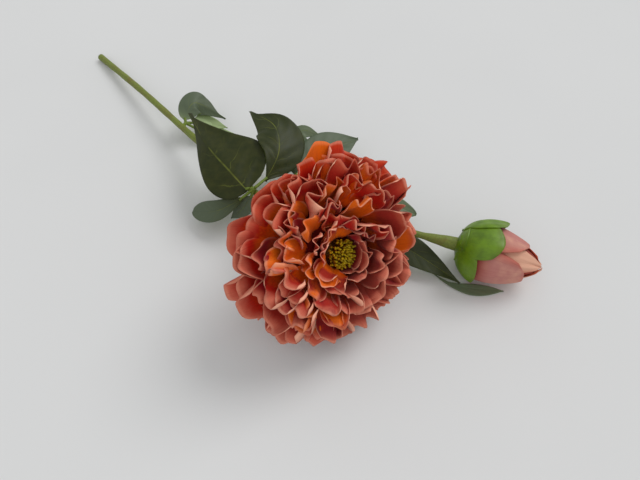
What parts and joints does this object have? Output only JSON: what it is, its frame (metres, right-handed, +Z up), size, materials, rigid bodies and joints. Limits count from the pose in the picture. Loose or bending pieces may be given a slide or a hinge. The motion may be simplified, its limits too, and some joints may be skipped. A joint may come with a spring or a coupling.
{
  "type": "cut peony with bud",
  "caption": "Cut peony lying on a surface: a leafy stem with a large open double bloom and a side shoot that carries an opening bud",
  "frame": {"origin": "on the surface the peony lies on, at the centre of its footprint", "axes": "+Z up; +X along the longest extent, towards the bud; +Y towards the cut end of the stem"},
  "size_m": [0.3453, 0.2964, 0.1039],
  "materials": {
    "bloom_petal": "matt, orange-red with salmon edges",
    "bud_petal": "matt, dusty pink",
    "stamen": "matt yellow",
    "sepal": "satin yellow-green",
    "leaf": "satin dark green",
    "stem": "satin olive green"
  },
  "bodies": {
    "root": {"bloom_petals": "bloom_petal", "bloom_stamens": "stamen", "bloom_calyx": "sepal", "bud_petals": "bud_petal", "bud_sepals": "sepal", "stem": "stem", "leaf_front": "leaf", "leaf_lower": "leaf", "leaf_upper": "leaf", "leaf_bud": "leaf"}
  },
  "joints": []
}
